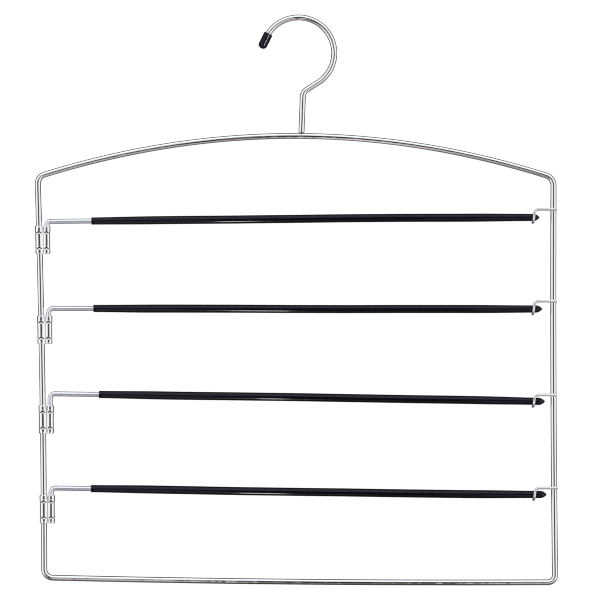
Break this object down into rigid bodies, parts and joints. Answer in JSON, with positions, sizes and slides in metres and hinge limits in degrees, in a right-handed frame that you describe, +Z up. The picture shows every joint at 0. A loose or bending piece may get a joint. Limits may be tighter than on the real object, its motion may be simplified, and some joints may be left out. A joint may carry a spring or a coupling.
{
  "type": "multi tier trouser hanger",
  "caption": "Chrome wire trouser hanger: arched frame with a hook and tiers of black sleeved arms that swing out from one side rail and close into wire catches on the other.",
  "frame": {"origin": "rod seat: the highest point inside the hook, where a wardrobe rod carries the hanger", "axes": "+Z up, +X to the viewer's right along the arms from their pivots to their catches, -Y towards the viewer, the side on which the catches are"},
  "size_m": [0.3924, 0.0084, 0.4284],
  "materials": {
    "chrome_wire": "bright chrome plate on drawn steel wire",
    "chrome_thin_wire": "bright chrome plate on thin drawn steel wire",
    "plated_sheet": "bright plate on rolled steel sheet",
    "satin_wire": "duller plate on drawn steel wire",
    "black_sleeve": "glossy soft black vinyl tube",
    "black_cap": "glossy soft black vinyl cap"
  },
  "bodies": {
    "hanger": {"frame_wire": "chrome_wire", "hook_wire": "chrome_wire", "hook_tip_cap": "black_cap", "pivot_clip_1": "plated_sheet", "pivot_clip_2": "plated_sheet", "pivot_clip_3": "plated_sheet", "pivot_clip_4": "plated_sheet", "catch_1": "chrome_thin_wire", "catch_2": "chrome_thin_wire", "catch_3": "chrome_thin_wire", "catch_4": "chrome_thin_wire"},
    "arm_1": {"arm_wire_1": "satin_wire", "arm_sleeve_1": "black_sleeve"},
    "arm_2": {"arm_wire_2": "satin_wire", "arm_sleeve_2": "black_sleeve"},
    "arm_3": {"arm_wire_3": "satin_wire", "arm_sleeve_3": "black_sleeve"},
    "arm_4": {"arm_wire_4": "satin_wire", "arm_sleeve_4": "black_sleeve"}
  },
  "joints": [
    {"name": "arm_hinge_1", "type": "hinge", "parent": "hanger", "child": "arm_1", "pos_m": [-0.18894, 0, -0.1507], "axis": [0, 0, 1], "range_deg": [0, 125]},
    {"name": "arm_hinge_2", "type": "hinge", "parent": "hanger", "child": "arm_2", "pos_m": [-0.18742, 0, -0.21589], "axis": [0, 0, 1], "range_deg": [0, 125]},
    {"name": "arm_hinge_3", "type": "hinge", "parent": "hanger", "child": "arm_3", "pos_m": [-0.1863, 0, -0.27992], "axis": [0, 0, 1], "range_deg": [0, 125]},
    {"name": "arm_hinge_4", "type": "hinge", "parent": "hanger", "child": "arm_4", "pos_m": [-0.18558, 0, -0.35061], "axis": [0, 0, 1], "range_deg": [0, 125]}
  ]
}
